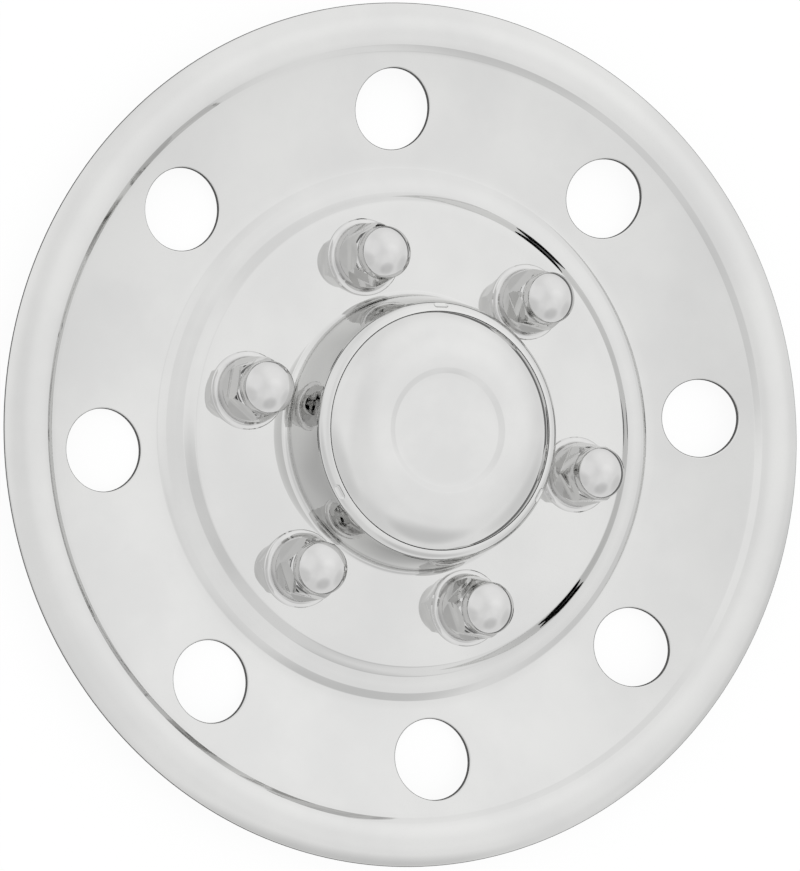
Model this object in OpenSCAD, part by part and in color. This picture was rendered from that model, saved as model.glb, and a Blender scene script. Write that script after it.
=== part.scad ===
/* [Liner rim] */
// Diameter over the rolled outer edge
outer_d = 423.4; // [400:1:440]
// Height of the rolled outer edge above the face that the liner rests on
edge_h = 15; // [13.5:0.5:18]
// Radius of the fold at the outer edge
edge_fold_r = 1.2; // [1.1:0.1:2]
// Lean of the turned-back rim flange, away from the wheel's axis
flange_lean = 26; // [24:1:30]
// Width of the flat lip that ends the turned-back flange
foot_lip_w = 5; // [3:0.5:8]
// Inner radius of the bend between the flange and its lip
foot_bend_r = 1.4; // [1:0.1:2.5]
// Width of the crowned rim band
band_w = 21; // [17:0.1:25]
// Height of the band's inner side over the outer edge
band_rise = 1.8; // [0.5:0.1:3]
// Radius of the band's crown
band_crown_r = 30; // [24:1:60]
// Slope of the band where it meets the edge fold
band_end_slope = 20; // [15:1:30]
// Width of the step inside the rim band
step_w = 2.8; // [2.2:0.1:4]
// Height of the step inside the rim band
step_h = 2.5; // [1.5:0.1:3.5]
// Bend radius at the top and the foot of the step
step_bend_r = 1; // [0.8:0.1:1.4]

/* [Liner disc] */
// Thickness of the polished sheet
sheet = 0.8; // [0.6:0.05:0.9]
// Radius of the long curve of the dished disc
dish_r = 280; // [240:5:500]
// Radius of the valley between the disc and the stepped ring
valley_r = 131.6; // [127:0.5:134]
// Depth of the hub plate below the outer edge
plate_drop = 5.1; // [3:0.1:6]
// Width of the ring's outer wall
outer_wall_w = 3.9; // [3.4:0.1:5]
// Height of the ring's outer wall
outer_wall_h = 2.1; // [1.6:0.1:3]
// Width of the ledge between the ring's two walls
ledge_w = 8.3; // [6:0.1:10]
// Fall of the ledge towards its outer side
ledge_fall = 1.1; // [0.4:0.1:1.8]
// Width of the ring's inner wall
inner_wall_w = 3.4; // [3:0.1:5]
// Height of the ring's inner wall
inner_wall_h = 3.9; // [3:0.1:4.6]
// Bend radius along the stepped ring
ring_bend_r = 1.7; // [1:0.1:2]
// Number of hand holes
hand_holes = 8; // [6:1:9]
// Clearance between a hand hole and either side of the disc's part of the sheet
hand_hole_margin = 4.35; // [4:0.05:8]
// Shift of the hand holes towards the axis, from the middle of the disc's part
hand_hole_shift = 0.7; // [0:0.1:1]
// Angle of the first hand hole
hand_hole_phase = 0.5; // [0:0.5:44]
// Depth of the lip that is turned down around each hand hole
hole_lip_h = 2.6; // [1.5:0.1:3]
// Clearance between that lip and the side of a spoke's part of the sheet
hole_lip_gap = 0.25; // [0.2:0.05:0.4]
// Width of the rim's part of the sheet inside the foot of the step
rim_part_w = 2.7; // [2.2:0.1:4]
// Width of the hub plate's part of the sheet outside the valley
plate_part_w = 5.4; // [3:0.1:7]
// Width of the collar's part of the sheet around its foot
collar_part_w = 1.7; // [1.5:0.1:3]

/* [Hub collar] */
// Inner radius of the collar's mouth
collar_r = 58; // [52:0.5:60]
// Height of the collar over the hub plate
collar_h = 32; // [26:0.1:40]
// Radius of the collar's rounded shoulder
shoulder_r = 5.8; // [5:0.1:8]
// Lean of the collar's bowed wall where it leaves the shoulder
collar_lean = 15; // [13:1:18]
// Spread of the collar's wall from the shoulder to its foot
collar_spread = 3.8; // [3:0.1:4.2]
// Radius of the fillet at the collar's foot
collar_foot_r = 3.2; // [2:0.1:4]
// Number of staking dents in the shoulder
stakes = 3; // [3:1:6]
// Angle of the first staking dent
stake_phase = 86.5; // [60:0.5:110]
// Radius of a staking dent's round section
stake_r = 2.4; // [1.8:0.1:3]
// Length of a staking dent between its round ends
stake_len = 4.5; // [2:0.1:8]
// Lean of a staking dent outwards from straight down
stake_lean = 30; // [15:1:40]
// Depth of a staking dent
stake_depth = 0.7; // [0.4:0.05:0.9]

/* [Centre cap] */
// Gap between the cap and the collar's mouth
cap_gap = 0.2; // [0.1:0.05:0.4]
// Radius of the flat crown of the cap
crown_flat_r = 33.8; // [32:0.1:38]
// Radius of the curve next to the flat crown
crown_r = 49.4; // [40:0.2:60]
// Slope at which that curve ends
crown_end_slope = 17; // [12:1:20]
// Radius of the steeper curve towards the seam
knuckle_r = 22.7; // [18:0.1:26]
// Radius of the turn at the seam
seam_turn_r = 1.2; // [1:0.1:2]
// Depth of the end of that turn below the collar's mouth
seam_sink = 0.5; // [0.2:0.05:0.8]
// Width of the flange that the collar's shoulder holds down
cap_flange_w = 3; // [2:0.1:4]
// Bend radius between the cap's wall and that flange
cap_fold_r = 0.3; // [0.2:0.05:0.6]
// Outer radius of the round recess in the crown
recess_r = 30.2; // [20:0.1:31]
// Width of the recess's sloping wall
recess_wall_w = 2.9; // [2:0.1:4]
// Depth of the recess
recess_depth = 1.05; // [0.6:0.05:1.5]
// Bend radius along the recess
recess_bend_r = 1.5; // [1:0.1:1.8]

/* [Lug covers] */
// Diameter of the circle that the lug covers lie on
lug_pcd = 180; // [176:1:188]
// Angle of the first lug cover
lug_phase = 104.4; // [90:0.1:120]
// Turn of the six flats on the first lug cover
cover_turn_1 = 57.5; // [0:0.1:60]
// Turn of the six flats on the second lug cover
cover_turn_2 = 13.7; // [0:0.1:60]
// Turn of the six flats on the third lug cover
cover_turn_3 = 27; // [0:0.1:60]
// Turn of the six flats on the fourth lug cover
cover_turn_4 = 17; // [0:0.1:60]
// Turn of the six flats on the fifth lug cover
cover_turn_5 = 14.9; // [0:0.1:60]
// Turn of the six flats on the sixth lug cover
cover_turn_6 = 46.3; // [0:0.1:60]
// Thickness of the lug cover's wall
cover_wall = 0.8; // [0.6:0.05:1]
// Radius of the lug cover's flange
flange_r = 19; // [17.8:0.1:20]
// Thickness of the folded flange
flange_t = 1.2; // [1:0.1:1.6]
// Chamfer around the flange's front
flange_bevel = 0.45; // [0.2:0.05:0.7]
// Radius of the fillet between the flange and the body
body_foot_r = 1.7; // [1.2:0.1:1.9]
// Radius of the round body at its foot
body_r = 15.9; // [15.6:0.05:16.2]
// Taper of the round body, in degrees from its axis
body_taper = 1.2; // [0.5:0.1:2]
// Height at which the body's shoulder starts, over the hub plate
brow_h = 17; // [15:0.1:18]
// Radius of the shoulder's curve
brow_r = 10; // [8:0.5:12]
// Slope of the shoulder where it meets the dome, in degrees from the axis
brow_slope = 38; // [30:1:45]
// Height at which each flat starts on the round body
flat_low_h = 6.5; // [5:0.1:8]
// Height above which each flat is plane
flat_run_h = 13; // [11:0.1:15]
// Distance between the axis and each flat at that height
flat_d = 13.8; // [13.6:0.05:14.2]
// Lean of each flat, in degrees from the axis
flat_lean = 4; // [2:0.1:4.5]
// Bend radius across each flat's lower end
flat_bend_r = 8; // [4:0.5:12]
// Radius of the domed tip
dome_r = 12.6; // [12:0.05:12.8]
// Height of the dome's centre over the hub plate
dome_h = 27.1; // [26:0.1:28]
// Outer radius of the neck that passes through the liner
neck_r = 14.9; // [14.5:0.1:15.2]
// Length of the neck behind the hub plate
neck_len = 7; // [5:0.1:7.4]
// Gap between the neck and its hole in the liner
neck_gap = 0.15; // [0.05:0.05:0.3]

/* [Rings and grips] */
// Width of the push-on ring behind the liner
ring_w = 4.6; // [3:0.1:6]
// Thickness of the push-on ring
ring_t = 0.7; // [0.5:0.05:1]
// Rise of the ring's teeth towards the neck's end
ring_dish = 1; // [0.5:0.1:1.5]
// Number of slots between the ring's teeth
ring_slots = 8; // [6:1:12]
// Width of a slot between the ring's teeth
ring_slot_w = 1.4; // [0.8:0.1:2.5]
// Length of the ring's teeth
ring_tooth_l = 2.4; // [1.5:0.1:2.8]
// Gap between the ring and what it seats on
ring_gap = 0.1; // [0.05:0.05:0.2]
// Radius of the grip's bore, over the corners of the wheel nut
grip_bore_r = 12.15; // [11.8:0.05:12.5]
// Length of the nylon grip
grip_l = 14; // [10:0.5:15]
// Depth of the grip's end inside the neck
grip_inset = 1; // [0.5:0.1:2]
// Gap between the grip and the neck
grip_gap = 0.1; // [0.05:0.05:0.2]
// Number of slots that make the grip springy
grip_slots = 6; // [4:1:8]
// Width of a grip slot
grip_slot_w = 1.2; // [0.8:0.1:2]
// Length of the solid band below the grip's slots
grip_band_l = 6; // [4:0.5:8]
// Chamfer at the grip's mouth
grip_chamfer = 0.8; // [0.4:0.1:1.2]

/* [Hidden] */
$fn = 144;

outer_r = outer_d / 2;
plate_z = edge_h - plate_drop;
ledge_z = plate_z - inner_wall_h;
valley_z = ledge_z - ledge_fall - outer_wall_h;
mouth_z = plate_z + collar_h;
lug_count = 6;
lug_step = 360 / lug_count;
polished = [0.86, 0.86, 0.85];
spring_steel = [0.5, 0.5, 0.48];
nylon = [0.93, 0.92, 0.88];
over = 1;

// Unit vector of v
function unit(v) = v / norm(v);

// Points on an arc about c, from angle a to angle b
function arc(c, r, a, b, n) = [for (i = [0:n]) let (t = a + (b - a) * i / n) c + r * [cos(t), sin(t)]];

// Points of the arc that rounds corner q between p and s
function corner(p, q, s, r, n) =
    let (u = unit(p - q), w = unit(s - q), half = acos(u * w) / 2)
    let (mid = q + unit(u + w) * r / sin(half), from = q + u * r / tan(half) - mid, to = q + w * r / tan(half) - mid)
    let (a = atan2(from[1], from[0]), b = atan2(to[1], to[0]), turn = (b - a + 540) % 360 - 180)
    arc(mid, r, a, a + turn, n);

// A path of [radius, height, bend radius] points, with its corners rounded
function bent(v, n = 4) = [
    for (i = [0:len(v) - 1])
        let (q = [v[i][0], v[i][1]])
        each v[i][2] == undef ? [q] :
            corner([v[i - 1][0], v[i - 1][1]], q, [v[i + 1][0], v[i + 1][1]], v[i][2], n)
];

// Points between p and q on a curve of radius r, bowed to the left where r is positive
function bow(p, q, r, n) =
    let (half = norm(q - p) / 2, along = unit(q - p), side = [-along[1], along[0]] * sign(r))
    let (c = (p + q) / 2 - side * sqrt(r * r - half * half))
    let (a = atan2(p[1] - c[1], p[0] - c[0]), b = atan2(q[1] - c[1], q[0] - c[0]))
    let (turn = (b - a + 540) % 360 - 180)
    [for (i = [1:n - 1]) let (t = a + turn * i / n) c + abs(r) * [cos(t), sin(t)]];

// The path p without its first point, where it goes on from another path
function onward(p) = [for (i = [1:len(p) - 1]) p[i]];

// The path p moved by d to its right
function beside(p, d) = [
    for (i = [0:len(p) - 1])
        let (u = i == 0 ? unit(p[1] - p[0]) : unit(p[i] - p[i - 1]))
        let (w = i == len(p) - 1 ? u : unit(p[i + 1] - p[i]))
        p[i] + d * [u[1] + w[1], -u[0] - w[0]] / (1 + u * w)
];

// Outline of a sheet of thickness t whose front face follows the path p
function strip(p, t) =
    let (back = beside(p, t))
    concat(p, [for (i = [len(back) - 1:-1:0]) back[i]]);

shoulder_c = [collar_r, mouth_z - shoulder_r];
shoulder = arc(shoulder_c, shoulder_r, 90, collar_lean, 7);
collar_top = shoulder[len(shoulder) - 1];
collar_foot = [collar_top[0] + collar_spread, plate_z, collar_foot_r];
belly_turn = collar_lean - atan(collar_spread / (collar_top[1] - plate_z));
belly_r = norm([collar_spread, collar_top[1] - plate_z]) / 2 / sin(belly_turn);
ledge_out = [valley_r - outer_wall_w, ledge_z - ledge_fall, ring_bend_r];
ledge_in = [ledge_out[0] - ledge_w, ledge_z, ring_bend_r];
plate_edge = [ledge_in[0] - inner_wall_w, plate_z, ring_bend_r];
valley = [valley_r, valley_z, ring_bend_r];
step_top = [outer_r - band_w, edge_h + band_rise, step_bend_r];
step_foot = [step_top[0] - step_w, step_top[1] - step_h, step_bend_r];
edge_c = [outer_r - edge_fold_r, edge_h];
edge = arc(edge_c, edge_fold_r, 90 - band_end_slope, -flange_lean, 6);
edge_end = edge[len(edge) - 1];
foot_bend = [edge_end[0] - edge_end[1] * tan(flange_lean), 0, foot_bend_r + sheet];

disc_bow = bow([valley[0], valley[1]], [step_foot[0], step_foot[1]], -dish_r, 6);

// Front face of the liner, from the collar's mouth out and round the rolled edge
liner_path = bent(concat(
    shoulder,
    bow(collar_top, [collar_foot[0], plate_z], belly_r, 4),
    [collar_foot, plate_edge, ledge_in, ledge_out, valley],
    disc_bow,
    [step_foot, step_top],
    bow([step_top[0], step_top[1]], edge[0], band_crown_r, 8),
    edge,
    [foot_bend, [foot_bend[0] - foot_lip_w - foot_bend_r, 0]]
));

// Radii at which the parts of the pressed sheet meet
disc_part_r = step_foot[0] - rim_part_w;
plate_part_r = valley_r + plate_part_w;
collar_part_r = collar_foot[0] + collar_part_w;

hole_r = (disc_part_r - plate_part_r) / 2 - hand_hole_margin;
hole_circle_r = (disc_part_r + plate_part_r) / 2 - hand_hole_shift;
hole_step = 360 / hand_holes;
spoke_in_r = hole_circle_r - hole_r - sheet - hole_lip_gap;
spoke_out_r = hole_circle_r + hole_r + sheet + hole_lip_gap;

module around(count, radius, phase = 0) {
    for (i = [0:count - 1])
        rotate(phase + i * 360 / count)
            translate([radius, 0, 0])
                children();
}

// A round-ended bar across the radius, which presses a staking dent
module stake_bar(r) {
    rotate([90, 0, 0])
        cylinder(r = r, h = stake_len, center = true);
    for (side = [-1, 1])
        translate([0, side * stake_len / 2, 0])
            sphere(r = r);
}

stake_seat = shoulder_r - stake_depth + stake_r;
stake_pos = shoulder_c + stake_seat * [sin(stake_lean), cos(stake_lean)];

module stake_bumps() {
    intersection() {
        rotate_extrude()
            polygon(concat(shoulder, [[shoulder_c[0] + over, shoulder_c[1] - shoulder_r], shoulder_c]));
        around(stakes, stake_pos[0], stake_phase)
            translate([0, 0, stake_pos[1]])
                stake_bar(stake_r + sheet);
    }
}

// The part of the pressed sheet between two radii, without its holes
module sheet_ring(inner, outer) {
    rotate_extrude()
        intersection() {
            polygon(strip(liner_path, sheet));
            translate([inner, -over])
                square([outer - inner, mouth_z + 2 * over]);
        }
}

module liner_collar() {
    color(polished)
        difference() {
            union() {
                sheet_ring(0, collar_part_r);
                stake_bumps();
            }
            around(stakes, stake_pos[0], stake_phase)
                translate([0, 0, stake_pos[1]])
                    stake_bar(stake_r);
        }
}

module liner_plate() {
    color(polished)
        difference() {
            sheet_ring(collar_part_r, plate_part_r);
            around(lug_count, lug_pcd / 2, lug_phase)
                cylinder(r = neck_r + neck_gap, h = edge_h + over);
        }
}

module liner_disc_inner() {
    color(polished)
        sheet_ring(plate_part_r, spoke_in_r);
}

module liner_disc_outer() {
    color(polished)
        sheet_ring(spoke_out_r, disc_part_r);
}

// Round posts in the two hand holes on either side of spoke k, their seams off the cuts between spokes
module hole_posts(k, r) {
    for (side = [0, 1])
        rotate(hand_hole_phase + (k - 1 + side) * hole_step)
            translate([hole_circle_r, 0, 0])
                rotate(hole_step)
                    cylinder(r = r, h = edge_h + over);
}

// A band below the disc's front face, which the lips are cut from
module lip_band() {
    path = concat([[valley[0], valley[1]]], disc_bow, [[step_foot[0], step_foot[1]]]);
    rotate_extrude()
        polygon(strip(beside(path, sheet / 2), hole_lip_h - sheet / 2));
}

// The part of the disc between two hand holes, with its half of their lips
module liner_spoke(k) {
    from = hand_hole_phase + (k - 1) * hole_step;
    far = 2 * outer_r;
    color(polished)
        intersection() {
            linear_extrude(height = mouth_z)
                polygon([[0, 0], far * [cos(from), sin(from)], far * [cos(from + hole_step), sin(from + hole_step)]]);
            difference() {
                union() {
                    sheet_ring(spoke_in_r, spoke_out_r);
                    intersection() {
                        lip_band();
                        hole_posts(k, hole_r + sheet);
                    }
                }
                hole_posts(k, hole_r);
            }
        }
}

module liner_rim() {
    color(polished)
        sheet_ring(disc_part_r, outer_r + over);
}

cap_r = collar_r - cap_gap;
crown_c = [crown_flat_r, -crown_r];
knuckle_c = crown_c + (crown_r - knuckle_r) * [sin(crown_end_slope), cos(crown_end_slope)];
knuckle_end = asin((cap_r - seam_turn_r - knuckle_c[0]) / (knuckle_r - seam_turn_r));
seam_c = knuckle_c + (knuckle_r - seam_turn_r) * [sin(knuckle_end), cos(knuckle_end)];
crown_z = mouth_z - seam_sink - seam_c[1];
cap_flange_r = cap_r + cap_flange_w;
shoulder_back = sqrt(pow(shoulder_r - sheet, 2) - pow(cap_flange_r - collar_r, 2));
cap_flange_z = shoulder_c[1] + shoulder_back - cap_gap - crown_z;

// Front face of the cap from its centre out, with the crown at height 0
cap_path = bent(concat(
    [[0, -recess_depth], [recess_r - recess_wall_w, -recess_depth, recess_bend_r], [recess_r, 0, recess_bend_r]],
    arc(crown_c, crown_r, 90, 90 - crown_end_slope, 6),
    onward(arc(knuckle_c, knuckle_r, 90 - crown_end_slope, 90 - knuckle_end, 7)),
    onward(arc(seam_c, seam_turn_r, 90 - knuckle_end, 0, 4)),
    [[cap_r, cap_flange_z, cap_fold_r], [cap_flange_r, cap_flange_z]]
));

module centre_cap() {
    color(polished)
        translate([0, 0, crown_z])
            rotate_extrude()
                polygon(strip(cap_path, sheet));
}

body_foot_h = flange_t + body_foot_r;
brow_c = [body_r - (brow_h - body_foot_h) * tan(body_taper) - brow_r, brow_h];
brow = arc(brow_c, brow_r, body_taper, brow_slope, 7);
brow_end = brow[len(brow) - 1];
brow_run = dome_h - brow_end[1];
brow_fall = [-tan(brow_slope), 1];

// Outer face of a lug cover, from its flange to the inside of the dome
cover_path = concat(
    [[flange_r, 0], [flange_r, flange_t - flange_bevel], [flange_r - flange_bevel, flange_t]],
    arc([body_r + body_foot_r, body_foot_h], body_foot_r, 270, 180, 6),
    brow,
    [brow_end + brow_run * brow_fall, [0, dome_h]]
);

// Hollow of a lug cover's body, without the flats
cover_hollow = concat(
    [[0, flange_t], [neck_r - cover_wall, flange_t], [body_r - cover_wall, body_foot_h]],
    arc(brow_c, brow_r - cover_wall, body_taper, brow_slope, 3),
    [brow_end + brow_run * brow_fall - cover_wall * unit([brow_fall[1], -brow_fall[0]]), [0, dome_h]]
);

// Face of a flat, as distances from the axis and heights, moved in by inset
function flat_face(inset) =
    let (low = [body_r - (flat_low_h - body_foot_h) * tan(body_taper), flat_low_h], run = [flat_d, flat_run_h])
    let (high = [flat_d - (dome_h + dome_r - flat_run_h) * tan(flat_lean), dome_h + dome_r])
    let (ramp = (run - low) / (run[1] - low[1]))
    bent([
        low - ramp * (low[1] - body_foot_h) - [inset, 0],
        [run[0] - inset, run[1], flat_bend_r],
        high - [inset, 0]
    ], inset > 0 ? 1 : 3);

// Cuts away what lies outside the six flats
module beyond_flats(inset) {
    face = flat_face(inset);
    far = face[0][0] + over;
    for (k = [0:5])
        rotate(k * 60)
            rotate([90, 0, 0])
                linear_extrude(height = 2 * flange_r, center = true)
                    polygon(concat(face, [[far, face[len(face) - 1][1]], [far, body_foot_h]]));
}

module lug_cover(turn) {
    neck_end = -sheet - neck_len;
    neck_in = neck_r - cover_wall;
    color(polished)
        difference() {
            union() {
                rotate_extrude()
                    polygon(concat([[0, neck_end], [neck_r, neck_end], [neck_r, 0]], cover_path));
                translate([0, 0, dome_h])
                    sphere(r = dome_r);
            }
            rotate(turn)
                beyond_flats(0);
            translate([0, 0, neck_end - over])
                cylinder(r = neck_in, h = flange_t - neck_end + 2 * over);
            difference() {
                union() {
                    rotate_extrude()
                        polygon(cover_hollow);
                    translate([0, 0, dome_h])
                        sphere(r = dome_r - cover_wall);
                }
                rotate(turn)
                    beyond_flats(cover_wall);
            }
        }
}

module push_ring() {
    inner = neck_r + ring_gap;
    top = -sheet - ring_gap;
    flat_in = inner + ring_tooth_l;
    color(spring_steel)
        difference() {
            rotate_extrude()
                polygon([
                    [inner, top - ring_dish], [flat_in, top], [inner + ring_w, top],
                    [inner + ring_w, top - ring_t], [flat_in, top - ring_t], [inner, top - ring_dish - ring_t]
                ]);
            around(ring_slots, inner - over, 0)
                translate([0, -ring_slot_w / 2, top - ring_dish - ring_t - over])
                    cube([ring_tooth_l + over, ring_slot_w, ring_dish + ring_t + 2 * over]);
        }
}

module nut_grip() {
    outer = neck_r - cover_wall - grip_gap;
    low = -sheet - neck_len + grip_inset;
    color(nylon)
        difference() {
            rotate_extrude()
                polygon([
                    [grip_bore_r + grip_chamfer, low], [outer, low], [outer, low + grip_l],
                    [grip_bore_r, low + grip_l], [grip_bore_r, low + grip_chamfer]
                ]);
            around(grip_slots, 0, 0)
                translate([0, -grip_slot_w / 2, low + grip_band_l])
                    cube([outer + over, grip_slot_w, grip_l]);
        }
}

// Places a piece at lug number k, counted from 1, on the hub plate
module at_lug(k) {
    rotate(lug_phase - (k - 1) * lug_step)
        translate([lug_pcd / 2, 0, plate_z])
            rotate(-lug_phase + (k - 1) * lug_step)
                children();
}

liner_rim();
liner_disc_outer();
liner_disc_inner();
liner_spoke(1);  // liner_spoke_1
liner_spoke(2);  // liner_spoke_2
liner_spoke(3);  // liner_spoke_3
liner_spoke(4);  // liner_spoke_4
liner_spoke(5);  // liner_spoke_5
liner_spoke(6);  // liner_spoke_6
liner_spoke(7);  // liner_spoke_7
liner_spoke(8);  // liner_spoke_8
liner_plate();
liner_collar();
centre_cap();
at_lug(1) lug_cover(cover_turn_1);  // lug_cover_1
at_lug(2) lug_cover(cover_turn_2);  // lug_cover_2
at_lug(3) lug_cover(cover_turn_3);  // lug_cover_3
at_lug(4) lug_cover(cover_turn_4);  // lug_cover_4
at_lug(5) lug_cover(cover_turn_5);  // lug_cover_5
at_lug(6) lug_cover(cover_turn_6);  // lug_cover_6
at_lug(1) push_ring();  // push_ring_1
at_lug(2) push_ring();  // push_ring_2
at_lug(3) push_ring();  // push_ring_3
at_lug(4) push_ring();  // push_ring_4
at_lug(5) push_ring();  // push_ring_5
at_lug(6) push_ring();  // push_ring_6
at_lug(1) nut_grip();  // nut_grip_1
at_lug(2) nut_grip();  // nut_grip_2
at_lug(3) nut_grip();  // nut_grip_3
at_lug(4) nut_grip();  // nut_grip_4
at_lug(5) nut_grip();  // nut_grip_5
at_lug(6) nut_grip();  // nut_grip_6
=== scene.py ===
import math

import bpy
import numpy as np
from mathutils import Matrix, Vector


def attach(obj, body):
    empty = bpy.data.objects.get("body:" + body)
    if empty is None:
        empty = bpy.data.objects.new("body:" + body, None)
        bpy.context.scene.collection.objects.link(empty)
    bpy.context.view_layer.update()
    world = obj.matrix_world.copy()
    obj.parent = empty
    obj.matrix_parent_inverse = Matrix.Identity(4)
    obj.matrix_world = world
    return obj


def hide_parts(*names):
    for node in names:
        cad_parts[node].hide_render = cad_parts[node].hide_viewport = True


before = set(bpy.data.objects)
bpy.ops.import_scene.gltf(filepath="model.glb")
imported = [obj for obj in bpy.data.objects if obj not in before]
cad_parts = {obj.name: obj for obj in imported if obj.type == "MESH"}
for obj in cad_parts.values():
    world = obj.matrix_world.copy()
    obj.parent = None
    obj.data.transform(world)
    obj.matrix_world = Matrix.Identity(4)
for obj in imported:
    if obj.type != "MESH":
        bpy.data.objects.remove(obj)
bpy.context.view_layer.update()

bl_info = {
    "name": "Truck wheel simulator",
    "version": (1, 0, 0),
    "blender": (4, 5, 0),
    "location": "3D View > Sidebar > Wheel",
    "description": "Gives the wheel simulator its polished skin, its finishes and a plain studio",
    "category": "Object",
}

LUG_COUNT = 6
FLATS = 6
HAND_HOLES = 8
STAKES = 3
LINER_NODES = [
    "liner_rim", "liner_disc_outer", "liner_disc_inner", "liner_plate", "liner_collar",
    *("liner_spoke_%d" % number for number in range(1, HAND_HOLES + 1))]
RIGHT_ANGLE = math.pi / 2
FULL_TURN = 2 * math.pi
# Steps of a full turn, for each spun or drilled form
LINER_STEPS = 240
CAP_STEPS = 192
COVER_STEPS = 144
HOLLOW_STEPS = 96
STAKE_STEPS = 40
DRILL_SIDES = 144
# How far cutters reach past what they cut, in metres
CUTTER_REACH = 0.01
SPINDLE_REACH = 0.02
OVERCUT = 0.001
FINE_OVERCUT = 0.0001
# Distance below which two points are one, in metres
SAME_PLACE = 1e-6
# Keeps a direction defined at the axis itself
NO_LENGTH = 1e-9
# Distance, in metres, that a face turned square to a surface counts as
TURNED_AWAY = 0.001
# Height of the polishing marks, in metres
MARK_HEIGHT = 0.000002
# Points compared with a path at a time
BATCH = 3000
# Soft lamps of the tent, and dark gaps between them where the strength is negative:
# azimuth, zenith, full within and gone beyond (degrees), strength
LAMPS = (
    (50, 48, 6, 46, 0.13),
    (150, 42, 5, 34, 0.095),
    (300, 26, 4, 26, 0.05),
    (5, 30, 5, 28, 0.06),
    (140, 80, 5, 30, 0.065),
    (285, 52, 4, 25, -0.22),
    (200, 60, 6, 30, -0.15),
    (245, 62, 6, 32, -0.09),
    (335, 76, 4, 24, -0.15),
)


def length(name, description, default):
    """A length in metres."""
    return bpy.props.FloatProperty(name=name, description=description, default=default,
                                   precision=5, subtype="DISTANCE", unit="LENGTH")


def angle(name, description, degrees):
    """An angle, given in degrees and kept in radians."""
    return bpy.props.FloatProperty(name=name, description=description, default=math.radians(degrees),
                                   subtype="ANGLE", unit="ROTATION")


def factor(name, description, default):
    """A plain factor."""
    return bpy.props.FloatProperty(
        name=name, description=description, default=default, precision=3, subtype="FACTOR")


def colour(name, description, default):
    """A colour in linear red, green and blue."""
    return bpy.props.FloatVectorProperty(name=name, description=description, default=default,
                                         size=3, min=0, max=1, subtype="COLOR")


class LinerSizes(bpy.types.PropertyGroup):
    outer_radius: length("Outer radius", "Radius over the rolled outer edge", 0.2117)
    edge_height: length("Edge height", "Height of the rolled outer edge over the floor", 0.015)
    edge_fold: length("Edge fold", "Radius of the fold at the outer edge", 0.0012)
    flange_lean: angle("Flange lean", "Lean of the turned-back flange", 26)
    foot_lip: length("Foot lip", "Width of the flat lip that ends the flange", 0.005)
    foot_bend: length("Foot bend", "Inner radius of the bend above the lip", 0.0014)
    band_width: length("Band width", "Width of the crowned rim band", 0.021)
    band_rise: length("Band rise", "Height of the band's inner side over the outer edge", 0.0018)
    band_crown: length("Band crown", "Radius of the band's crown", 0.03)
    band_slope: angle("Band slope", "Slope of the band where it meets the edge fold", 20)
    step_width: length("Step width", "Width of the step inside the band", 0.0028)
    step_height: length("Step height", "Height of the step inside the band", 0.0025)
    step_bend: length("Step bend", "Bend radius of the step", 0.001)
    sheet: length("Sheet", "Thickness of the polished sheet", 0.0008)
    dish: length("Dish", "Radius of the disc's long curve", 0.28)
    valley_radius: length("Valley radius", "Radius of the valley around the stepped ring", 0.1316)
    plate_drop: length("Plate drop", "Depth of the hub plate below the outer edge", 0.0051)
    outer_wall: length("Outer wall", "Width of the ring's outer wall", 0.0039)
    outer_wall_height: length("Outer wall height", "Height of the ring's outer wall", 0.0021)
    ledge: length("Ledge", "Width of the ledge between the ring's walls", 0.0083)
    ledge_fall: length("Ledge fall", "Fall of the ledge towards its outer side", 0.0011)
    inner_wall: length("Inner wall", "Width of the ring's inner wall", 0.0048)
    inner_wall_height: length("Inner wall height", "Height of the ring's inner wall", 0.0039)
    ring_bend: length("Ring bend", "Bend radius along the stepped ring", 0.0017)
    hole_radius: length("Hand hole radius", "Radius of a hand hole", 0.01975)
    hole_circle: length("Hand hole circle", "Radius of the circle the hand holes lie on", 0.1604)
    hole_phase: angle("Hand hole phase", "Angle of the first hand hole", 0.5)
    hole_lip: length("Hand hole lip", "Depth of the lip turned down around a hand hole", 0.0026)
    hole_bend: length("Hand hole bend", "Bend radius of a hand hole's front edge", 0.0009)


class CollarSizes(bpy.types.PropertyGroup):
    mouth: length("Mouth radius", "Inner radius of the collar's mouth", 0.058)
    height: length("Height", "Height of the collar over the hub plate", 0.032)
    shoulder: length("Shoulder", "Radius of the collar's rounded shoulder", 0.0058)
    lean: angle("Lean", "Lean of the collar's bowed wall where it leaves the shoulder", 15)
    spread: length("Spread", "Spread of the collar's wall from the shoulder to its foot", 0.0038)
    foot: length("Foot", "Radius of the fillet at the collar's foot", 0.0032)
    stake_phase: angle("Stake phase", "Angle of the first staking dent", 86.5)
    stake_radius: length("Stake radius", "Radius of a dent's round section", 0.0024)
    stake_length: length("Stake length", "Length of a dent between its round ends", 0.0045)
    stake_lean: angle("Stake lean", "Lean of a dent from straight down", 30)
    stake_depth: length("Stake depth", "Depth of a dent", 0.0007)


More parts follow.
